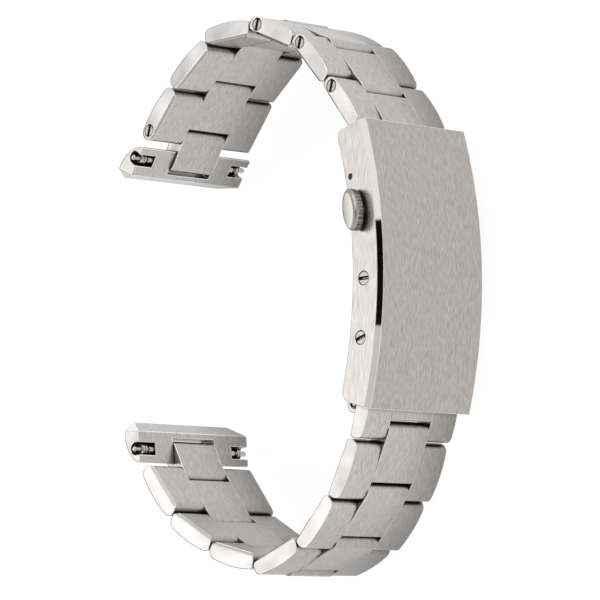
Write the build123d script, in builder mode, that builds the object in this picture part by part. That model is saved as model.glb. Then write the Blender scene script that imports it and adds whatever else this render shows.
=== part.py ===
from build123d import *
import math
import os

# A link watch bracelet with a folding clasp, lying on its side, in millimetres.
# The loop lies in the XY plane. The watch would sit at -X and the clasp is at +X.
# The origin is the middle of the upper spring bar, and all pins run along Z.

# Strap links
pitch = 9.1
thickness = 2.7
link_gap = 0.35
centre_width = 8.2
centre_gap = 0.25
side_clearance = 0.02
crown = 0.45
side_corner_radius = 1.08
centre_corner_radius = 0.4
edge_bevel = 0.4
watch_width = 20.4
clasp_width = 18.0

# Pins and screws of the strap
pin_radius = 0.6
running_clearance = 0.04
press_clearance = 0.01
pin_wall = 1.2
screw_head_radius = 0.9
screw_head_length = 0.8
screw_recess = 0.08
slot_width = 0.32
slot_depth = 0.4
slot_angle = 78

# Rest shape of the strap: headings in degrees, from the watch towards the clasp
upper_swivel_heading = 63.3
upper_end_heading = 60.3
upper_headings = [54.7, 42.4, 6.6, -19.1, -44.6, -49.0]
upper_screwed = [True, False, False, True, True, True]
lower_swivel_heading = -58.2
lower_end_heading = -81.3
lower_headings = [-46.9, -24.5, -9.5, 27.2, 52.2, 68.0, 79.0]
lower_screwed = [True, False, False, True, True, True, True]
swivel_pitch = 4.44

# End links, which meet the watch case, with the spring bar axis as local origin
lug_width = 22.0
bar_to_front = 2.56
bar_to_back = 2.04
bar_height = 0.85
front_lean = 1.86
front_height = 2.85
outer_flat = 2.57
shoulder_reach = 0.39
shoulder_height = 2.17
back_rise = 0.41
front_bar_to_axis = 1.72
end_soft_edge = 0.3
swivel_side_gap = 0.1
corner_cut_width = 1.8
corner_cut_length = 1.5
window_depth = 3.3
window_width = 1.85

# Spring bars
barrel_radius = 0.6
tip_radius = 0.4
tip_stem_radius = 0.45
tip_stem_length = 1.7
tip_travel = 0.45
tip_proud = 0.35
flange_radius = 0.78
flange_width = 0.3
flange_gap = 0.14
flange_from_end = 1.45

# Clasp: curved about its own axis, with rises counted from the blades' inner face
clasp_radius = 63.4
clasp_pin_rise = 3.65
clasp_pin_angle = 20.7
wall_edge_rise = 0.9
plate_rise = 5.25
plate_thickness = 0.9
cover_width = 21.4
wall_thickness = 1.4
cover_bevel = 0.65
cover_top_angle = 21.7
cover_top_corner = 1.2
cover_bottom_angle = -12.0
cover_bottom_corner = 1.6

# Clasp hinges and blades
cover_hinge_rise = 1.8
cover_hinge_angle = 15.6
hinge_pin_recess = 0.5
hinge_access_radius = 0.43
knuckle_rise = 0.4
knuckle_angle = -12.5
blade_thickness = 1.2
middle_blade_half_width = 4.0
cover_eye_radius = 1.3
knuckle_eye_radius = 1.2
arm_gap = 0.6
arm_width = 2.8
cross_plate_start_angle = 18.0
cross_plate_end_angle = 20.8
ear_clearance = 0.1
ear_width = 2.8
ear_web_start_angle = 19.55
ear_web_end_angle = 21.0
catch_angle = 9.2
catch_length = 2.0
catch_height = 0.9
catch_width = 0.8
knuckle_pin_proud = 0.2
knuckle_pin_ring = 0.2

# Release buttons: oval heads on round stems
button_rise = 2.5
button_angle = 11.2
button_half_length = 2.95
button_half_width = 1.45
button_height = 1.5
button_crown = 0.6
button_travel = 0.45
button_stem_radius = 1.1
button_foot_radius = 1.9
button_foot_thickness = 0.6
button_clearance = 0.05

# Length adjuster, along a straight line through its pin, with places seen from the clasp's axis
adjuster_pin_rise = 3.6
adjuster_pin_angle = -7.1
adjuster_half_width = 6.6
carriage_start_angle = 1.37
carriage_end_angle = 8.0
carriage_web_angle = 1.88
carriage_bottom = -1.8
carriage_top = -0.9
pawl_start_angle = 6.98
pawl_end_angle = 7.65
pawl_top = -0.45
pawl_half_width = 1.95
rail_start_angle = 1.71
rail_end_angle = 10.98
rail_half_width = 3.9
rail_bottom = -0.35
rail_top = 0.3
tooth_angle = 1.03
tooth_depth = 0.3
tooth_count = 8
wall_screw_rise = 2.9
wall_screw_angles = [3.0, -4.1]
wall_slot_angles = [6, 22]
wall_screw_head_radius = 1.0
wall_screw_head_length = 0.6
wall_screw_radius = 0.6
boss_half_length = 1.2
boss_drop = 1.2
boss_width = 2.0
boss_to_wall = 0.05
overrun = 0.5
right_angle = 90

os.makedirs("parts", exist_ok=True)


def save(part, name):
    # Labels a finished piece and writes it.
    part.label = name
    export_step(part, f"parts/{name}.step")


def along(point, heading, distance):
    # The point at a distance from another, in the loop's plane.
    angle = math.radians(heading)
    return (point[0] + distance * math.cos(angle), point[1] + distance * math.sin(angle))


def piece_plane(point, heading, side):
    # The plane of a strap piece: X towards the clasp, Y away from the wrist.
    angle = math.radians(heading)
    return Plane(
        origin=(point[0], point[1], 0),
        x_dir=(math.cos(angle), math.sin(angle), 0),
        z_dir=(0, 0, side),
    )


def local_vector(plane, x, y, z):
    # A direction given in a plane's own axes.
    return plane.x_dir * x + plane.y_dir * y + plane.z_dir * z


# Places of the pins, walked along the strap
spring_bar_upper = (0, 0)
upper_pins = [along(spring_bar_upper, upper_swivel_heading, swivel_pitch)]
for heading in upper_headings:
    upper_pins.append(along(upper_pins[-1], heading, pitch))
clasp_pin = upper_pins[-1]
clasp_centre = along(clasp_pin, clasp_pin_angle, -clasp_radius - clasp_pin_rise)


def clasp_point(rise, angle):
    # A point of the clasp, by its rise over the blades' inner face and its angle.
    return along(clasp_centre, angle, clasp_radius + rise)


cover_hinge = clasp_point(cover_hinge_rise, cover_hinge_angle)
knuckle = clasp_point(knuckle_rise, knuckle_angle)
adjuster_pin_point = clasp_point(adjuster_pin_rise, adjuster_pin_angle)
adjuster_heading = adjuster_pin_angle + right_angle
lower_pins = [adjuster_pin_point]
for heading in reversed(lower_headings):
    lower_pins.insert(0, along(lower_pins[0], heading, -pitch))
spring_bar_lower = along(lower_pins[0], lower_swivel_heading, -swivel_pitch)


# Strap pieces
end_radius = thickness / 2
half_centre = centre_width / 2
side_inner = half_centre + side_clearance
centre_start = end_radius + centre_gap
side_start = -end_radius
side_end = pitch - end_radius - link_gap


def half_width_at(index, count, place):
    # Half the strap's width at a place on a link, tapering towards the clasp.
    share = (index * pitch + place + end_radius) / (count * pitch)
    return watch_width / 2 - share * (watch_width - clasp_width) / 2


def side_profile(plane):
    # The long flank of a side piece: flat towards the wrist, crowned outside.
    with BuildSketch(plane) as profile:
        with BuildLine():
            shoulder = end_radius - crown
            middle = (side_start + side_end) / 2
            Line((side_start, -end_radius), (side_end, -end_radius))
            Line((side_end, -end_radius), (side_end, shoulder))
            ThreePointArc((side_end, shoulder), (middle, end_radius), (side_start, shoulder))
            Line((side_start, shoulder), (side_start, -end_radius))
        make_face()
        fillet(profile.vertices(), side_corner_radius)
    return profile.sketch


def round_face(plane, x, y, radius):
    # A disc on a plane, for pins and holes.
    with BuildSketch(plane) as disc:
        with Locations((x, y)):
            Circle(radius)
    return disc.sketch


def taper_plan(plane, fork_half_width, tongue_half_width):
    # The outline of a link seen from outside, wider towards the watch.
    plan = Plane(origin=plane.origin, x_dir=plane.x_dir, z_dir=-plane.y_dir)
    with BuildSketch(plan) as outline:
        with BuildLine():
            Polyline(
                (side_start, fork_half_width),
                (side_end, tongue_half_width),
                (side_end, -tongue_half_width),
                (side_start, -fork_half_width),
                close=True,
            )
        make_face()
    return outline.sketch


def bevel_section(plane, fork_half_width, tongue_half_width, sign):
    # The corner that the polished bevel takes off along the wrist side.
    slope = (tongue_half_width - fork_half_width) / (side_end - side_start)
    start = side_start - overrun
    edge = sign * (fork_half_width - slope * overrun)
    section = Plane(
        origin=plane.from_local_coords(Vector(start, -end_radius, edge)),
        x_dir=plane.y_dir,
        z_dir=local_vector(plane, 1, 0, sign * slope),
    )
    with BuildSketch(section) as corner:
        with BuildLine():
            Polyline(
                (edge_bevel + overrun, sign * overrun),
                (-overrun, sign * overrun),
                (-overrun, -sign * (edge_bevel + overrun)),
                close=True,
            )
        make_face()
    return corner.sketch


def link_sides(plane, fork_half_width, tongue_half_width, screwed):
    # The two side pieces of a link, with the fork's pin holes.
    with BuildPart() as sides:
        depth = fork_half_width - side_inner
        extrude(side_profile(plane.offset(side_inner)), amount=depth)
        extrude(side_profile(plane.offset(-side_inner)), amount=-depth)
        plan = taper_plan(plane, fork_half_width, tongue_half_width)
        extrude(plan, amount=thickness, both=True, mode=Mode.INTERSECT)
        for sign in (1, -1):
            corner = bevel_section(plane, fork_half_width, tongue_half_width, sign)
            extrude(corner, amount=side_end - side_start + 2 * overrun, mode=Mode.SUBTRACT)
        blind = fork_half_width - pin_wall
        hole = round_face(plane, 0, 0, pin_radius + press_clearance)
        extrude(hole, amount=blind, both=True, mode=Mode.SUBTRACT)
        if screwed:
            seat = fork_half_width - screw_recess - screw_head_length
            bore = round_face(plane.offset(seat), 0, 0, screw_head_radius + press_clearance)
            extrude(bore, amount=screw_head_length + overrun, mode=Mode.SUBTRACT)
            through = round_face(plane, 0, 0, pin_radius + press_clearance)
            extrude(through, amount=seat + press_clearance, mode=Mode.SUBTRACT)
    return sides.part


def link_centre(plane):
    # The centre piece of a link, whose round tongue enters the next link.
    with BuildPart() as centre:
        with BuildSketch(plane) as profile:
            with BuildLine():
                Line((pitch, -end_radius), (centre_start, -end_radius))
                Line((centre_start, -end_radius), (centre_start, end_radius))
                Line((centre_start, end_radius), (pitch, end_radius))
                ThreePointArc((pitch, end_radius), (pitch + end_radius, 0), (pitch, -end_radius))
            make_face()
            fillet(profile.vertices().group_by(Axis.X)[0], centre_corner_radius)
        extrude(amount=half_centre, both=True)
        tongue_hole = round_face(plane, pitch, 0, pin_radius + running_clearance)
        extrude(tongue_hole, amount=half_centre, both=True, mode=Mode.SUBTRACT)
    return centre.part


def cut_slot(plane, angle, head_radius):
    # The driver slot across a screw head, at an angle in the plane of the head's face.
    with BuildSketch(plane) as slot:
        Rectangle(2 * head_radius + overrun, slot_width, rotation=angle)
    extrude(slot.sketch, amount=-slot_depth, mode=Mode.SUBTRACT)


def link_pin(plane, slot_turn, fork_half_width, screwed):
    # The pin across a link's fork, with its screw head where it has one.
    with BuildPart() as pin:
        blind = fork_half_width - pin_wall - press_clearance
        extrude(round_face(plane, 0, 0, pin_radius), amount=blind, both=True)
        if screwed:
            face = fork_half_width - screw_recess
            seat = face - screw_head_length + press_clearance
            extrude(round_face(plane, 0, 0, pin_radius), amount=seat)
            head = round_face(plane.offset(seat), 0, 0, screw_head_radius)
            extrude(head, amount=face - seat)
            cut_slot(plane.offset(face), slot_turn, screw_head_radius)
    return pin.part


def build_half(prefix, pins, headings, screwed, side):
    # All the links of one half, numbered from the watch.
    for index, heading in enumerate(headings):
        plane = piece_plane(pins[index], heading, side)
        fork_half = half_width_at(index, len(headings), side_start)
        tongue_half = half_width_at(index, len(headings), side_end)
        name = f"{prefix}_link_{index + 1}"
        save(link_sides(plane, fork_half, tongue_half, screwed[index]), f"{name}_sides")
        save(link_centre(plane), f"{name}_centre")
        slot_turn = side * (slot_angle - heading)
        save(link_pin(plane, slot_turn, fork_half, screwed[index]), f"{name}_pins")


build_half("upper", upper_pins, upper_headings, upper_screwed, 1)
build_half("lower", lower_pins, lower_headings, lower_screwed, -1)

# End links, swivels and spring bars
lug_half = lug_width / 2
window_bottom = lug_half - window_depth
front_top_place = (-bar_to_front - front_lean, front_height - bar_height)
tip_end = lug_half + tip_proud
ring_end = tip_end - flange_from_end
ring_start = ring_end - 2 * flange_width - flange_gap
barrel_half_length = ring_start - tip_travel - running_clearance


def end_section(plane):
    # The flank of an end link, with the spring bar's axis at its origin.
    with BuildSketch(plane) as section:
        with BuildLine():
            outer_start = (front_top_place[0] + outer_flat, front_top_place[1])
            shoulder = (shoulder_reach, shoulder_height - bar_height)
            back_top = (bar_to_back, back_rise - bar_height)
            Line((-bar_to_front, -bar_height), (bar_to_back, -bar_height))
            Line((bar_to_back, -bar_height), back_top)
            ThreePointArc(back_top, shoulder, outer_start)
            Line(outer_start, front_top_place)
            Line(front_top_place, (-bar_to_front, -bar_height))
        make_face()
        fillet(section.vertices().sort_by(Axis.X)[0], end_soft_edge)
    return section.sketch


def corner_cut_face(plane):
    # A large face on the slanted plane that trims the outer front corner at the side.
    low = plane.from_local_coords(Vector(-bar_to_front, -bar_height, lug_half))
    inward = Vector(front_top_place[0], front_top_place[1], lug_half - corner_cut_width)
    back = Vector(front_top_place[0] + corner_cut_length, front_top_place[1], lug_half)
    first = plane.from_local_coords(inward) - low
    second = plane.from_local_coords(back) - low
    with BuildSketch(Plane(origin=low, x_dir=first, z_dir=second.cross(first))) as trim:
        Rectangle(lug_width, lug_width)
    return trim.sketch


def end_link(plane):
    # The block that fills the space between case and strap, open for its swivel.
    with BuildPart() as block:
        extrude(end_section(plane), amount=lug_half)
        extrude(corner_cut_face(plane), amount=lug_half, mode=Mode.SUBTRACT)
        with BuildSketch(plane) as opening:
            with Locations((-front_bar_to_axis, 0)):
                Rectangle(lug_width, lug_width, align=(Align.MIN, Align.CENTER))
        extrude(opening.sketch, amount=half_centre + swivel_side_gap, mode=Mode.SUBTRACT)
        with BuildSketch(plane.offset(window_bottom)) as window:
            Circle(window_width / 2)
            Rectangle(window_width, lug_half, align=(Align.CENTER, Align.MAX))
        extrude(window.sketch, amount=window_depth + overrun, mode=Mode.SUBTRACT)
        bore = round_face(plane, 0, 0, barrel_radius + running_clearance)
        extrude(bore, amount=window_bottom, mode=Mode.SUBTRACT)
        mirror(about=plane)
    return block.part


def end_swivel(plane):
    # The short middle piece that turns on the spring bar and on the first strap pin.
    with BuildPart() as swivel:
        with BuildSketch(plane):
            with Locations((swivel_pitch / 2, 0)):
                SlotCenterToCenter(swivel_pitch, thickness)
        extrude(amount=half_centre, both=True)
        bar_hole = round_face(plane, 0, 0, barrel_radius + running_clearance)
        extrude(bar_hole, amount=half_centre, both=True, mode=Mode.SUBTRACT)
        pin_hole = round_face(plane, swivel_pitch, 0, pin_radius + running_clearance)
        extrude(pin_hole, amount=half_centre, both=True, mode=Mode.SUBTRACT)
    return swivel.part


def spring_bar_barrel(point):
    # The tube that the two sprung tips slide in.
    plane = Plane(origin=(point[0], point[1], 0))
    stem_room = tip_stem_length + tip_travel + overrun
    with BuildPart() as barrel:
        extrude(round_face(plane, 0, 0, barrel_radius), amount=barrel_half_length)
        room = plane.offset(barrel_half_length - stem_room)
        bore = round_face(room, 0, 0, tip_stem_radius + running_clearance)
        extrude(bore, amount=stem_room, mode=Mode.SUBTRACT)
        mirror(about=plane)
    return barrel.part


def spring_bar_tip(point, sign):
    # A sprung tip: stem in the barrel, two rings for the tool, and the small end.
    axis = Axis((point[0], point[1], 0), (0, 0, sign))
    section = Plane(origin=(point[0], point[1], 0), x_dir=(1, 0, 0), z_dir=(0, -sign, 0))
    with BuildPart() as tip:
        with BuildSketch(section):
            with BuildLine():
                Polyline(
                    (0, barrel_half_length - tip_stem_length),
                    (tip_stem_radius, barrel_half_length - tip_stem_length),
                    (tip_stem_radius, ring_start),
                    (flange_radius, ring_start),
                    (flange_radius, ring_start + flange_width),
                    (tip_stem_radius, ring_start + flange_width),
                    (tip_stem_radius, ring_end - flange_width),
                    (flange_radius, ring_end - flange_width),
                    (flange_radius, ring_end),
                    (tip_radius, ring_end),
                    (tip_radius, tip_end - tip_radius / 2),
                    (tip_radius / 2, tip_end),
                    (0, tip_end),
                    close=True,
                )
            make_face()
        revolve(axis=axis)
    return tip.part


def build_end(prefix, point, end_heading, swivel_heading, side):
    # One end: block, swivel and spring bar.
    save(end_link(piece_plane(point, end_heading, side)), f"{prefix}_end_link")
    save(end_swivel(piece_plane(point, swivel_heading, side)), f"{prefix}_end_swivel")
    save(spring_bar_barrel(point), f"{prefix}_spring_bar_barrel")
    save(spring_bar_tip(point, 1), f"{prefix}_spring_bar_tip_left")
    save(spring_bar_tip(point, -1), f"{prefix}_spring_bar_tip_right")


build_end("upper", spring_bar_upper, upper_end_heading, upper_swivel_heading, 1)
build_end("lower", spring_bar_lower, lower_end_heading, lower_swivel_heading, -1)

# Clasp
cover_half = cover_width / 2
arm_inner = middle_blade_half_width + arm_gap
arm_outer = arm_inner + arm_width
wall_inner = cover_half - wall_thickness
clasp_axis = Axis((clasp_centre[0], clasp_centre[1], 0), (0, 0, 1))
wall_edge_radius = clasp_radius + wall_edge_rise
plate_inner_radius = clasp_radius + plate_rise
plate_outer_radius = plate_inner_radius + plate_thickness
hinge_pin_half = cover_half - hinge_pin_recess


def radial_plane(angle):
    # A plane through the clasp's axis: X outwards, Y along the axis.
    turn = math.radians(angle)
    return Plane(
        origin=(clasp_centre[0], clasp_centre[1], 0),
        x_dir=(math.cos(turn), math.sin(turn), 0),
        z_dir=(math.sin(turn), -math.cos(turn), 0),
    )


def curved_bar(rise, low, high, start, end):
    # Adds a bar that follows the clasp's curve between two angles, up to a rise.
    with BuildSketch(radial_plane(start)) as section:
        with Locations((clasp_radius + rise / 2, (low + high) / 2)):
            Rectangle(rise, high - low)
    revolve(section.sketch, axis=clasp_axis, revolution_arc=end - start)


def pillar(point, radius, low, high, mode=Mode.ADD):
    # Adds or cuts a cylinder along Z between two heights.
    face = round_face(Plane(origin=(point[0], point[1], low)), 0, 0, radius)
    extrude(face, amount=high - low, mode=mode)


def both_sides(point, radius, low, high, mode=Mode.ADD):
    # The same cylinder on both sides of the loop's middle plane.
    pillar(point, radius, low, high, mode)
    pillar(point, radius, -high, -low, mode)


def cover_section():
    # The cover's channel: a thin outer plate with two deep side walls.
    with BuildSketch(radial_plane(cover_bottom_angle)) as section:
        with BuildLine():
            Polyline(
                (wall_edge_radius, cover_half),
                (plate_outer_radius - cover_bevel, cover_half),
                (plate_outer_radius, cover_half - cover_bevel),
                (plate_outer_radius, -cover_half + cover_bevel),
                (plate_outer_radius - cover_bevel, -cover_half),
                (wall_edge_radius, -cover_half),
                (wall_edge_radius, -wall_inner),
                (plate_inner_radius, -wall_inner),
                (plate_inner_radius, wall_inner),
                (wall_edge_radius, wall_inner),
                close=True,
            )
        make_face()
    return section.sketch


button_point = clasp_point(button_rise, button_angle)
wall_screw_points = [clasp_point(wall_screw_rise, angle) for angle in wall_screw_angles]
screw_seat = cover_half - wall_screw_head_length - screw_recess

with BuildPart() as clasp_cover:
    cover_arc = cover_top_angle - cover_bottom_angle
    revolve(cover_section(), axis=clasp_axis, revolution_arc=cover_arc)
    for cover_angle, corner in (
        (cover_top_angle, cover_top_corner),
        (cover_bottom_angle, cover_bottom_corner),
    ):
        wall_corner = Vector(*clasp_point(wall_edge_rise, cover_angle))
        end_edges = clasp_cover.edges().filter_by(Axis.Z).filter_by(
            lambda edge: (edge.center() - wall_corner).cross(clasp_axis.direction).length < corner
        )
        fillet(end_edges, corner)
    pin_end = hinge_pin_half + press_clearance
    both_sides(cover_hinge, pin_radius + press_clearance, 0, pin_end, Mode.SUBTRACT)
    both_sides(cover_hinge, hinge_access_radius, 0, cover_half, Mode.SUBTRACT)
    both_sides(button_point, button_stem_radius + button_clearance, 0, cover_half, Mode.SUBTRACT)
    for screw_point in wall_screw_points:
        both_sides(screw_point, wall_screw_radius + press_clearance, 0, cover_half, Mode.SUBTRACT)
        both_sides(screw_point, wall_screw_head_radius + press_clearance, screw_seat,
                   cover_half, Mode.SUBTRACT)
save(clasp_cover.part, "clasp_cover")

with BuildPart() as cover_fasteners:
    pillar(cover_hinge, pin_radius, -hinge_pin_half, hinge_pin_half)
    for screw_point, slot_turn in zip(wall_screw_points, wall_slot_angles):
        head_top = cover_half - screw_recess
        both_sides(screw_point, wall_screw_head_radius, screw_seat + press_clearance, head_top)
        both_sides(screw_point, wall_screw_radius, wall_inner - boss_width / 2, head_top)
        for face_side in (1, -1):
            head_plane = Plane(
                origin=(screw_point[0], screw_point[1], face_side * head_top),
                x_dir=(1, 0, 0),
                z_dir=(0, 0, face_side),
            )
            cut_slot(head_plane, face_side * slot_turn, wall_screw_head_radius)
save(cover_fasteners.part, "cover_pins_and_screws")

with BuildPart() as middle_blade:
    curved_bar(blade_thickness, -middle_blade_half_width, middle_blade_half_width,
               knuckle_angle, cover_hinge_angle)
    pillar(cover_hinge, cover_eye_radius, -middle_blade_half_width, middle_blade_half_width)
    pillar(knuckle, knuckle_eye_radius, -middle_blade_half_width, middle_blade_half_width)
    for eye in (cover_hinge, knuckle):
        eye_hole = pin_radius + running_clearance
        pillar(eye, eye_hole, -middle_blade_half_width, middle_blade_half_width, Mode.SUBTRACT)
save(middle_blade.part, "middle_blade")

with BuildPart() as knuckle_pin:
    knuckle_pin_half = arm_outer + knuckle_pin_proud
    pillar(knuckle, pin_radius, -knuckle_pin_half, knuckle_pin_half)
    both_sides(knuckle, pin_radius - knuckle_pin_ring, knuckle_pin_half - knuckle_pin_ring,
               knuckle_pin_half, Mode.SUBTRACT)
save(knuckle_pin.part, "knuckle_pin")

with BuildPart() as inner_blade:
    ear_inner = half_centre + ear_clearance
    ear_outer = ear_inner + ear_width
    for low, high in ((arm_inner, arm_outer), (-arm_outer, -arm_inner)):
        curved_bar(blade_thickness, low, high, knuckle_angle, cross_plate_end_angle)
    curved_bar(blade_thickness, -arm_outer, arm_outer, cross_plate_start_angle,
               cross_plate_end_angle)
    for low, high in ((ear_inner, ear_outer), (-ear_outer, -ear_inner)):
        curved_bar(clasp_pin_rise, low, high, ear_web_start_angle, ear_web_end_angle)
    both_sides(clasp_pin, end_radius, ear_inner, ear_outer)
    both_sides(knuckle, knuckle_eye_radius, arm_inner, arm_outer)
    catch_end = catch_angle + math.degrees(catch_length / (clasp_radius + blade_thickness))
    for low, high in ((arm_outer - catch_width, arm_outer), (-arm_outer, catch_width - arm_outer)):
        curved_bar(blade_thickness + catch_height, low, high, catch_angle, catch_end)
    both_sides(clasp_pin, pin_radius + press_clearance, ear_inner, ear_outer, Mode.SUBTRACT)
    both_sides(knuckle, pin_radius + running_clearance, arm_inner, arm_outer, Mode.SUBTRACT)
save(inner_blade.part, "inner_blade")

with BuildPart() as strap_pin:
    pillar(clasp_pin, pin_radius, -ear_outer, ear_outer)
save(strap_pin.part, "strap_pin")


def release_button(sign):
    # A button: an oval crowned head outside the wall, a stem through it and a foot inside.
    head_plane = piece_plane(button_point, button_angle + right_angle, sign)
    head_base = cover_half + button_travel + button_clearance
    foot_top = wall_inner - button_clearance
    with BuildPart() as button:
        with BuildSketch(head_plane.offset(head_base)) as oval:
            Ellipse(button_half_length, button_half_width)
        extrude(oval.sketch, amount=button_height)
        front = button.faces().sort_by(Axis((0, 0, 0), (0, 0, sign)))[-1]
        fillet(front.edges(), button_crown)
        stem = round_face(head_plane.offset(foot_top), 0, 0, button_stem_radius)
        extrude(stem, amount=head_base - foot_top)
        foot = round_face(head_plane.offset(foot_top), 0, 0, button_foot_radius)
        extrude(foot, amount=-button_foot_thickness)
    return button.part


save(release_button(1), "release_button_left")
save(release_button(-1), "release_button_right")

# Length adjuster
adjuster_plane = piece_plane(adjuster_pin_point, adjuster_heading, -1)


def reach(angle):
    # A place along the adjuster, by its angle from the pin as seen from the clasp's axis.
    return (clasp_radius + adjuster_pin_rise) * math.tan(math.radians(angle))


def adjuster_block(start, end, bottom, top, low, high):
    # Adds a block given along the adjuster, away from the wrist and across.
    with BuildSketch(adjuster_plane.offset(low)) as face:
        with Locations(((start + end) / 2, (bottom + top) / 2)):
            Rectangle(end - start, top - bottom)
    extrude(face.sketch, amount=high - low)


def rail_notch(tooth):
    # One sloped notch under the rail, for the slide's pawl.
    start = reach(carriage_end_angle - (tooth + 1) * tooth_angle)
    end = reach(carriage_end_angle - tooth * tooth_angle)
    with BuildSketch(adjuster_plane) as notch:
        with BuildLine():
            Polyline(
                (end, rail_bottom - tooth_depth),
                (end, rail_bottom + tooth_depth),
                (start, rail_bottom),
                (start, rail_bottom - tooth_depth),
                close=True,
            )
        make_face()
    return notch.sketch


with BuildPart() as adjuster_rail:
    rail_start = reach(rail_start_angle)
    rail_end = reach(rail_end_angle)
    adjuster_block(rail_start, rail_end, rail_bottom, rail_top, -rail_half_width, rail_half_width)
    boss_outer = wall_inner - boss_to_wall
    boss_inner = boss_outer - boss_width
    for screw_point in wall_screw_points:
        screw_local = adjuster_plane.to_local_coords(Vector(*screw_point))
        start = screw_local.X - boss_half_length
        end = screw_local.X + boss_half_length
        adjuster_block(start, end, rail_bottom, rail_top, -boss_outer, boss_outer)
        for low, high in ((boss_inner, boss_outer), (-boss_outer, -boss_inner)):
            adjuster_block(start, end, screw_local.Y - boss_drop, rail_top, low, high)
        both_sides(screw_point, wall_screw_radius + press_clearance, boss_inner,
                   wall_inner, Mode.SUBTRACT)
    for tooth in range(tooth_count):
        extrude(rail_notch(tooth), amount=pawl_half_width, both=True, mode=Mode.SUBTRACT)
save(adjuster_rail.part, "adjuster_rail")

with BuildPart() as adjuster_slide:
    adjuster_block(reach(carriage_start_angle), reach(carriage_end_angle), carriage_bottom,
                   carriage_top, -adjuster_half_width, adjuster_half_width)
    adjuster_block(reach(pawl_start_angle), reach(pawl_end_angle), carriage_top, pawl_top,
                   -pawl_half_width, pawl_half_width)
    for low, high in ((ear_inner, adjuster_half_width), (-adjuster_half_width, -ear_inner)):
        adjuster_block(0, reach(carriage_web_angle), -end_radius, 0, low, high)
    both_sides(adjuster_pin_point, end_radius, ear_inner, adjuster_half_width)
    both_sides(adjuster_pin_point, pin_radius + press_clearance, ear_inner,
               adjuster_half_width, Mode.SUBTRACT)
save(adjuster_slide.part, "adjuster_slide")

with BuildPart() as adjuster_pin:
    pillar(adjuster_pin_point, pin_radius, -adjuster_half_width, adjuster_half_width)
save(adjuster_pin.part, "adjuster_pin")
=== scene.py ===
import math

import bpy
from mathutils import Matrix, Vector


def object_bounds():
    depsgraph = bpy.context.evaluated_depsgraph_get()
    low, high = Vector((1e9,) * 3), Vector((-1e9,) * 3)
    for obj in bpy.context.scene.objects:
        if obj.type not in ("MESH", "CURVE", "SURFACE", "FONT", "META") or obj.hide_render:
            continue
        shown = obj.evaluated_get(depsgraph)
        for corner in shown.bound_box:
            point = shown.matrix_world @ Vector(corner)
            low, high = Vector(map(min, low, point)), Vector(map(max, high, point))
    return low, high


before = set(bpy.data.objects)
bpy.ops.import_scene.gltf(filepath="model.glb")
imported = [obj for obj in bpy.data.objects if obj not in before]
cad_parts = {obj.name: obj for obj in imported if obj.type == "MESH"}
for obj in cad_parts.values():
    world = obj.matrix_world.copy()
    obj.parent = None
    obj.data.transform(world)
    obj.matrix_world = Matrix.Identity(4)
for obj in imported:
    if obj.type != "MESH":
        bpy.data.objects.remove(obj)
cad_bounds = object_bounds()

# Lengths are in metres and angles in degrees. A level on the steel multiplies its colour,
# painting light and shade into it; a level of the room multiplies its light. Pairs are the
# two ends of a range.

# Camera, as fitted to the photograph
CAMERA_TURN = 45.0
CAMERA_TILT = 3.68
CAMERA_DISTANCE = 0.53722
CAMERA_TARGET = Vector((0.02472, -0.02025, 0.0))
CAMERA_CLIP = (0.01, 20.0)
LENS_MM = 224.16
SENSOR_MM = 36.0

# Colours of the steel, and how far the grain takes them to both sides
WARM_GREY = (0.425, 0.404, 0.388)
PIN_GREY = (0.34, 0.322, 0.305)
RIM_GREY = (0.34, 0.325, 0.31)
DOME_GREY = (0.36, 0.345, 0.33)
GREY_SPREAD = 0.26
RIM_SPREAD = 0.78
DOME_SPREAD = 0.065

# Grain: sizes along X, Y and Z
FINE_LINE = (0.001, 0.001, 0.00007)
WIDE_LINE = (0.006, 0.006, 0.0002)
WALL_LINE = (0.00009, 0.0025, 0.01)
AXIAL_LINE = (0.00015, 0.00015, 0.003)
CLOUD = (0.006, 0.006, 0.006)
TURNED_CLOUD = (0.0004, 0.0004, 0.0001)
FINE_DETAIL = 1.0
MEDIUM_DETAIL = 2.0
WIDE_DETAIL = 3.0
WIDE_SHARE = 0.12
NOISE_RANGE = (0.3, 0.7)
NOISE_MIDDLE = 0.5
LINE_HEIGHT = 0.000004
RIM_LINE_HEIGHT = 0.00002

# Roughness, and how far the grain takes it to both sides
GRAIN_ROUGHNESS = 0.34
BLADE_ROUGHNESS = 0.3
BEVEL_ROUGHNESS = 0.03
FLANK_ROUGHNESS = 0.2
WALL_ROUGHNESS = 0.28
TURNED_ROUGHNESS = 0.16
RIM_ROUGHNESS = 0.4
DOME_ROUGHNESS = 0.16
FLOOR_ROUGHNESS = 0.9
GRAIN_CHANGE = 0.05
FLANK_CHANGE = 0.02

# Where a face counts as a bevel, a flank or the button's dome: the share it faces along Z
BEVEL_FACING = (0.45, 0.5)
FLANK_FACING = (0.9, 0.95)
DOME_FACING = (0.15, 0.3)

# Painted shade in the gaps between the pieces
CREVICE_REACH = 0.0013
WALL_REACH = 0.0003
CREVICE_RANGE = (0.2, 0.85)
CREVICE_SHADE = 0.1
CREVICE_SAMPLES = 8

# Painted highlights and painted shade along the edges: the cosine between the rounded and the
# flat normal, and the change of level
EDGE_ROUND = 0.00024
CLASP_ROUND = 0.00012
PIN_ROUND = 0.00028
ROUND_SAMPLES = 8
EDGE_COSINE = (0.95, 0.9995)
EDGE_SHADE = -0.95
EDGE_LIGHT = 1.5
TIP_PAINTED_HIGHLIGHT = 0.5
LIT_SIDE = (1.0, 0.6, 0.0)
LIT_RANGE = (-0.15, 0.0)
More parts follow.
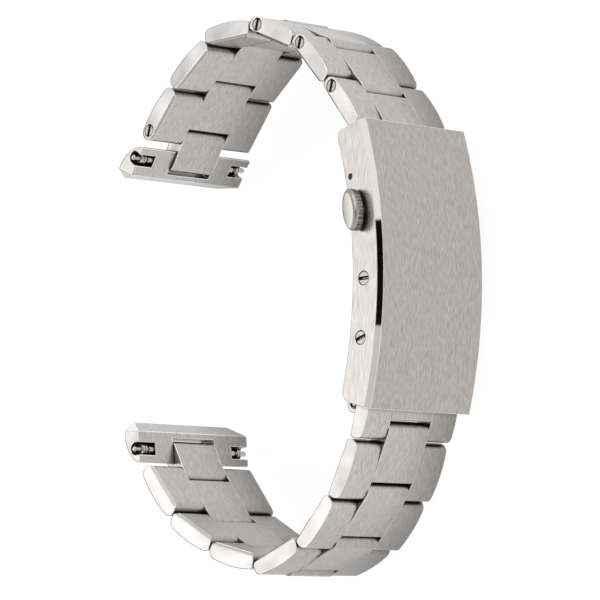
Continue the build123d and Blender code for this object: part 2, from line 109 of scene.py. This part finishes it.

# Painted light and shade on the broad faces of the strap, from the far side at negative Z to
# the near one
STRAP_HALF_WIDTH = 0.0098
FALL_START = -0.001
NEAR_PAINTED_LIGHT = 1.18
MIDDLE_LEVEL = 0.98
FAR_PAINTED_SHADE = 0.58
LOW_RANGE = (-0.061, -0.049)
LOW_PAINTED_SHADE = 0.68
LINK_SEAM = 0.00411
SEAM_RANGE = (0.000045, 0.00009)
SEAM_SHADE = 0.4

# Painted light on the flanks, painted reflection on the clasp's bevels and a painted
# highlight on the button's dome
FLANK_PAINTED_LIGHT = 1.05
BEVEL_RANGE = (-0.018, -0.016)
LOWER_BEVEL_REFLECTION = 1.6
UPPER_BEVEL_REFLECTION = 1.0
RIDGE_ALONG = (0.98096, 0.19423, 0.0)
RIDGE_PLACE = 0.044
RIDGE_REACH = 0.0016
RIDGE_LIGHT = 1.3
RIDGE_SHADE = 0.7

# Studio: directions of the patches of the room, each with its inner and outer angle
FLOOR_SIZE = 4.0
FLOOR_GLOW = 0.86
FLOOR_COLOUR = (0.22, 0.22, 0.22)
ROOM_COLOUR = (0.8, 0.8, 0.8)
ROOM_LEVEL = 1.0
LEFT_LIGHT = (-0.7, -0.2, 0.7)
LEFT_ANGLES = (10.0, 27.0)
LEFT_COLOUR = (0.784, 0.8, 0.818)
LEFT_LEVEL = 1.9
ABOVE_LIGHT = (0.55, 0.6, 0.62)
ABOVE_ANGLES = (18.0, 24.0)
ABOVE_LEVEL = 1.3
DARK_CARD = (0.714, 0.14, 0.686)
DARK_ANGLES = (9.2, 9.6)
DARK_LEVEL = 0.01

# The vector sockets of a Mix node, which share their names with its other sockets
MIX_FIRST = 4
MIX_SECOND = 5
MIX_RESULT = 1


def camera_rotation():
    # The rows are the frame's axes as the camera sees them, with Y as upright as it can be;
    # the columns are the camera's own axes in the frame.
    turn = math.radians(CAMERA_TURN)
    tilt = math.radians(CAMERA_TILT)
    z = Vector((
        -math.sin(turn) * math.cos(tilt),
        math.sin(tilt),
        math.cos(turn) * math.cos(tilt),
    ))
    up = Vector((0, 1, 0))
    y = (up - z * up.dot(z)).normalized()
    return Matrix((y.cross(z), y, z))


def add_camera():
    data = bpy.data.cameras.new("photo_camera")
    data.lens = LENS_MM
    data.sensor_width = SENSOR_MM
    data.clip_start, data.clip_end = CAMERA_CLIP
    camera = bpy.data.objects.new("photo_camera", data)
    bpy.context.collection.objects.link(camera)
    rotation = camera_rotation()
    place = CAMERA_TARGET + rotation.col[2] * CAMERA_DISTANCE
    camera.matrix_world = Matrix.Translation(place) @ rotation.to_4x4()
    bpy.context.scene.camera = camera


def new_material(name):
    material = bpy.data.materials.new(name)
    material.use_nodes = True
    tree = material.node_tree
    tree.nodes.clear()
    output = tree.nodes.new("ShaderNodeOutputMaterial")
    shader = tree.nodes.new("ShaderNodeBsdfPrincipled")
    tree.links.new(shader.outputs["BSDF"], output.inputs["Surface"])
    return material, tree, shader


def feed(tree, value, socket):
    # Gives a socket a constant or the output of another node.
    if isinstance(value, bpy.types.NodeSocket):
        tree.links.new(value, socket)
    else:
        socket.default_value = value


def calculate(tree, operation, first, second=0.0):
    node = tree.nodes.new("ShaderNodeMath")
    node.operation = operation
    feed(tree, first, node.inputs[0])
    feed(tree, second, node.inputs[1])
    return node.outputs["Value"]


def product(tree, first, *others):
    for other in others:
        first = calculate(tree, "MULTIPLY", first, other)
    return first


def mix_values(tree, share, first, second):
    # The first value where the share is 0, the second where it is 1.
    change = calculate(tree, "SUBTRACT", second, first)
    return calculate(tree, "ADD", product(tree, change, share), first)


def mix_colours(tree, share, first, second):
    node = tree.nodes.new("ShaderNodeMix")
    node.data_type = "VECTOR"
    feed(tree, share, node.inputs["Factor"])
    feed(tree, first, node.inputs[MIX_FIRST])
    feed(tree, second, node.inputs[MIX_SECOND])
    return node.outputs[MIX_RESULT]


def remap(tree, value, low, high, to_low, to_high):
    node = tree.nodes.new("ShaderNodeMapRange")
    node.inputs["From Min"].default_value = low
    node.inputs["From Max"].default_value = high
    node.inputs["To Min"].default_value = to_low
    node.inputs["To Max"].default_value = to_high
    feed(tree, value, node.inputs["Value"])
    return node.outputs["Result"]


def dot_product(tree, first, second):
    node = tree.nodes.new("ShaderNodeVectorMath")
    node.operation = "DOT_PRODUCT"
    feed(tree, first, node.inputs[0])
    feed(tree, second, node.inputs[1])
    return node.outputs["Value"]


def own(tree, kind):
    # The surface's place ("Object") or its normal ("Normal") in the object's own axes.
    return tree.nodes.new("ShaderNodeTexCoord").outputs[kind]


def along_axis(tree, vector, axis):
    split = tree.nodes.new("ShaderNodeSeparateXYZ")
    feed(tree, vector, split.inputs["Vector"])
    return split.outputs[axis]


def stretched_noise(tree, sizes, detail=MEDIUM_DETAIL):
    # Noise whose grains have the given sizes along X, Y and Z.
    stretch = tree.nodes.new("ShaderNodeMapping")
    stretch.inputs["Scale"].default_value = [1 / size for size in sizes]
    feed(tree, own(tree, "Object"), stretch.inputs["Vector"])
    noise = tree.nodes.new("ShaderNodeTexNoise")
    noise.inputs["Scale"].default_value = 1.0
    noise.inputs["Detail"].default_value = detail
    feed(tree, stretch.outputs["Vector"], noise.inputs["Vector"])
    return noise.outputs["Fac"]


def around(tree, noise, middle, change):
    # The noise, brought to both sides of a value.
    return remap(tree, noise, *NOISE_RANGE, middle - change, middle + change)


def facing_along_z(tree):
    return calculate(tree, "ABSOLUTE", along_axis(tree, own(tree, "Normal"), "Z"))


def painted_crevice_shade(tree, reach):
    # Painted shade: one in the open and less in the gaps between the pieces, where they hide
    # each other's light.
    occlusion = tree.nodes.new("ShaderNodeAmbientOcclusion")
    occlusion.samples = CREVICE_SAMPLES
    occlusion.inputs["Distance"].default_value = reach
    return remap(tree, occlusion.outputs["AO"], *CREVICE_RANGE, CREVICE_SHADE, 1.0)


def rounded_normal(tree, radius):
    bevel = tree.nodes.new("ShaderNodeBevel")
    bevel.samples = ROUND_SAMPLES
    bevel.inputs["Radius"].default_value = radius
    return bevel.outputs["Normal"]


def painted_edge_level(tree, rounded, change):
    # One, changed by painted light and shade along the edges, where the rounded normal leaves
    # the flat one.
    flat = tree.nodes.new("ShaderNodeNewGeometry").outputs["True Normal"]
    edge = remap(tree, dot_product(tree, rounded, flat), *EDGE_COSINE, 1.0, 0.0)
    return calculate(tree, "ADD", product(tree, edge, change), 1.0)


def painted_edge_light_and_shade(tree, rounded):
    # Painted highlight at edges that turn to the lit side, painted shade at those that turn
    # away.
    lit = dot_product(tree, rounded, LIT_SIDE)
    return remap(tree, lit, *LIT_RANGE, EDGE_SHADE, EDGE_LIGHT)


def painted_bevel_reflection(tree):
    # Painted reflection: the clasp's polished bevels are lighter on their lower half.
    y = along_axis(tree, own(tree, "Object"), "Y")
    return remap(tree, y, *BEVEL_RANGE, LOWER_BEVEL_REFLECTION, UPPER_BEVEL_REFLECTION)


def painted_strap_shade(tree):
    # Painted light and shade: lighter at the near side, darker towards the far one, most past
    # the middle, and darker at the lowest links.
    half = STRAP_HALF_WIDTH
    place = own(tree, "Object")
    z = along_axis(tree, place, "Z")
    slope = remap(tree, z, -half, half, MIDDLE_LEVEL, NEAR_PAINTED_LIGHT)
    fall = remap(tree, z, -half, FALL_START, FAR_PAINTED_SHADE, 1.0)
    low = remap(tree, along_axis(tree, place, "Y"), *LOW_RANGE, LOW_PAINTED_SHADE, 1.0)
    return product(tree, slope, fall, low)


def seamed_painted_strap_shade(tree):
    # The same painted light and shade, with a dark line where a link's side pieces meet the
    # centre piece.
    away = calculate(tree, "ABSOLUTE", along_axis(tree, own(tree, "Object"), "Z"))
    away = calculate(tree, "ABSOLUTE", calculate(tree, "SUBTRACT", away, LINK_SEAM))
    seam = remap(tree, away, *SEAM_RANGE, SEAM_SHADE, 1.0)
    return product(tree, painted_strap_shade(tree), seam)


def painted_ridge_highlight(tree):
    # Painted highlight along the middle of the button's dome, with painted shade at its two
    # sides.
    along = dot_product(tree, own(tree, "Object"), RIDGE_ALONG)
    away = calculate(tree, "ABSOLUTE", calculate(tree, "SUBTRACT", along, RIDGE_PLACE))
    return remap(tree, away, 0.0, RIDGE_REACH, RIDGE_LIGHT, RIDGE_SHADE)


def steel_colour(tree, grain, base, spread, level=1.0, reach=CREVICE_REACH):
    # The base grey with its grain, at the given level of painted light and shade, with
    # painted shade in the gaps.
    ramp = tree.nodes.new("ShaderNodeValToRGB")
    ends = zip(ramp.color_ramp.elements, NOISE_RANGE, (1 - spread, 1 + spread))
    for element, position, share in ends:
        element.position = position
        element.color = [share * value for value in base] + [1]
    feed(tree, grain, ramp.inputs["Fac"])
    shade = tree.nodes.new("ShaderNodeVectorMath")
    shade.operation = "SCALE"
    feed(tree, ramp.outputs["Color"], shade.inputs[0])
    feed(tree, product(tree, painted_crevice_shade(tree, reach), level), shade.inputs["Scale"])
    return shade.outputs["Vector"]


def raised_lines(tree, pattern, distance):
    bump = tree.nodes.new("ShaderNodeBump")
    bump.inputs["Distance"].default_value = distance
    feed(tree, pattern, bump.inputs["Height"])
    return bump


def finish_steel(tree, shader, colour, roughness, normal):
    shader.inputs["Metallic"].default_value = 1.0
    feed(tree, colour, shader.inputs["Base Color"])
    feed(tree, roughness, shader.inputs["Roughness"])
    feed(tree, normal, shader.inputs["Normal"])


def brushed_steel(
    name,
    flank_line,
    grain_roughness=GRAIN_ROUGHNESS,
    flank_roughness=FLANK_ROUGHNESS,
    broad_painted_shade=None,
    reach=CREVICE_REACH,
    edge=EDGE_ROUND,
):
    # Brushed along the strap, with smoother flanks along Z and polished bevels between.
    material, tree, shader = new_material(name)
    fine = stretched_noise(tree, FINE_LINE, FINE_DETAIL)
    wide = stretched_noise(tree, WIDE_LINE, WIDE_DETAIL)
    streaks = mix_values(tree, WIDE_SHARE, fine, wide)
    flank_streaks = stretched_noise(tree, flank_line)

    facing = facing_along_z(tree)
    tilted = remap(tree, facing, *BEVEL_FACING, 0.0, 1.0)
    flank = remap(tree, facing, *FLANK_FACING, 0.0, 1.0)
    bevel = calculate(tree, "SUBTRACT", tilted, flank)

    rough = around(tree, streaks, grain_roughness, GRAIN_CHANGE)
    rough = mix_values(tree, tilted, rough, BEVEL_ROUGHNESS)
    smooth = around(tree, flank_streaks, flank_roughness, FLANK_CHANGE)
    roughness = mix_values(tree, flank, rough, smooth)
    pattern = mix_values(tree, tilted, streaks, NOISE_MIDDLE)
    pattern = mix_values(tree, flank, pattern, flank_streaks)

    rounded = rounded_normal(tree, edge)
    # Painted light and shade along the edges, a painted reflection on the bevels and painted
    # light on the flanks.
    level = product(
        tree,
        painted_edge_level(tree, rounded, painted_edge_light_and_shade(tree, rounded)),
        mix_values(tree, bevel, 1.0, painted_bevel_reflection(tree)),
        mix_values(tree, flank, 1.0, FLANK_PAINTED_LIGHT),
    )
    # Painted light and shade across the strap's broad faces, none on the flanks.
    if broad_painted_shade:
        level = product(tree, level, mix_values(tree, flank, broad_painted_shade(tree), 1.0))
    colour = steel_colour(tree, pattern, WARM_GREY, GREY_SPREAD, level, reach)

    lines = raised_lines(tree, pattern, LINE_HEIGHT)
    feed(tree, rounded, lines.inputs["Normal"])
    finish_steel(tree, shader, colour, roughness, lines.outputs["Normal"])
    return material


def turned_steel(name, base, change):
    # Polished and turned: fine clouding, no long lines. A positive change paints light along
    # the edges and a negative change paints shade there.
    material, tree, shader = new_material(name)
    cloud = stretched_noise(tree, TURNED_CLOUD)
    roughness = around(tree, cloud, TURNED_ROUGHNESS, GRAIN_CHANGE)
    rounded = rounded_normal(tree, PIN_ROUND)
    level = painted_edge_level(tree, rounded, change)
    colour = steel_colour(tree, cloud, base, GREY_SPREAD, level, WALL_REACH)
    finish_steel(tree, shader, colour, roughness, rounded)
    return material


def button_steel(name):
    # A polished dome with a darker rim that is brushed along the button's axis.
    material, tree, shader = new_material(name)
    rim_lines = stretched_noise(tree, AXIAL_LINE)
    cloud = stretched_noise(tree, CLOUD)
    dome = remap(tree, facing_along_z(tree), *DOME_FACING, 0.0, 1.0)
    roughness = mix_values(tree, dome, RIM_ROUGHNESS, DOME_ROUGHNESS)
    rim_colour = steel_colour(tree, rim_lines, RIM_GREY, RIM_SPREAD)
    dome_colour = steel_colour(tree, cloud, DOME_GREY, DOME_SPREAD, painted_ridge_highlight(tree))
    colour = mix_colours(tree, dome, rim_colour, dome_colour)
    pattern = mix_values(tree, dome, rim_lines, NOISE_MIDDLE)
    lines = raised_lines(tree, pattern, RIM_LINE_HEIGHT)
    finish_steel(tree, shader, colour, roughness, lines.outputs["Normal"])
    return material


def give(name, material):
    # Puts one material on all slots of a CAD node.
    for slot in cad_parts[name].material_slots:
        slot.link = "DATA"
        slot.material = material


def dress():
    links = brushed_steel("brushed_link_steel", CLOUD, broad_painted_shade=seamed_painted_strap_shade)
    ends = brushed_steel("brushed_end_link_steel", CLOUD, broad_painted_shade=painted_strap_shade)
    clasp = brushed_steel(
        "brushed_clasp_steel",
        WALL_LINE,
        flank_roughness=WALL_ROUGHNESS,
        reach=WALL_REACH,
        edge=CLASP_ROUND,
    )
    blades = brushed_steel("satin_blade_steel", WALL_LINE, BLADE_ROUGHNESS)
    # Painted shade rings along the edges of pins and screws, and painted highlights along the
    # edges of the spring bars' tips and barrels.
    turned = turned_steel("turned_pin_steel", PIN_GREY, EDGE_SHADE)
    sprung = turned_steel("polished_spring_bar_steel", WARM_GREY, TIP_PAINTED_HIGHLIGHT)
    button = button_steel("polished_button_steel")
    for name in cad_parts:
        if name.endswith(("_sides", "_centre")):
            give(name, links)
        elif name.endswith(("_end_link", "_end_swivel")):
            give(name, ends)
        elif name == "clasp_cover":
            give(name, clasp)
        elif "blade" in name or name in ("adjuster_rail", "adjuster_slide"):
            give(name, blades)
        elif "button" in name:
            give(name, button)
        elif "tip" in name or "barrel" in name:
            give(name, sprung)
        else:
            give(name, turned)


def add_floor():
    lowest = cad_bounds[0][2]
    half = FLOOR_SIZE / 2
    corners = [(-half, -half), (half, -half), (half, half), (-half, half)]
    mesh = bpy.data.meshes.new("floor")
    mesh.from_pydata([(x, y, lowest) for x, y in corners], [], [(0, 1, 2, 3)])
    floor = bpy.data.objects.new("floor", mesh)
    bpy.context.collection.objects.link(floor)
    material, _, shader = new_material("pale_floor")
    shader.inputs["Base Color"].default_value = (*FLOOR_COLOUR, 1)
    shader.inputs["Roughness"].default_value = FLOOR_ROUGHNESS
    shader.inputs["Emission Color"].default_value = (1, 1, 1, 1)
    shader.inputs["Emission Strength"].default_value = FLOOR_GLOW
    mesh.materials.append(material)


def room_patch(tree, place, direction, angles):
    # One within the inner angle of a direction and zero past the outer angle.
    inner, outer = (math.cos(math.radians(angle)) for angle in angles)
    near = dot_product(tree, place, Vector(direction).normalized())
    return remap(tree, near, outer, inner, 0.0, 1.0)


def add_studio():
    # A soft light room: brighter on the left and above, with a dark card by the camera.
    world = bpy.data.worlds.new("studio")
    bpy.context.scene.world = world
    world.use_nodes = True
    tree = world.node_tree
    tree.nodes.clear()
    output = tree.nodes.new("ShaderNodeOutputWorld")
    background = tree.nodes.new("ShaderNodeBackground")
    place = tree.nodes.new("ShaderNodeTexCoord").outputs["Generated"]
    left = room_patch(tree, place, LEFT_LIGHT, LEFT_ANGLES)
    above = room_patch(tree, place, ABOVE_LIGHT, ABOVE_ANGLES)
    dark = room_patch(tree, place, DARK_CARD, DARK_ANGLES)
    level = calculate(tree, "ADD", ROOM_LEVEL, product(tree, left, LEFT_LEVEL))
    level = calculate(tree, "ADD", level, product(tree, above, ABOVE_LEVEL))
    level = mix_values(tree, dark, level, DARK_LEVEL)
    colour = mix_colours(tree, left, ROOM_COLOUR, LEFT_COLOUR)
    feed(tree, colour, background.inputs["Color"])
    feed(tree, level, background.inputs["Strength"])
    tree.links.new(background.outputs["Background"], output.inputs["Surface"])


add_camera()
add_studio()
add_floor()
dress()
bpy.context.scene.view_settings.view_transform = "Standard"
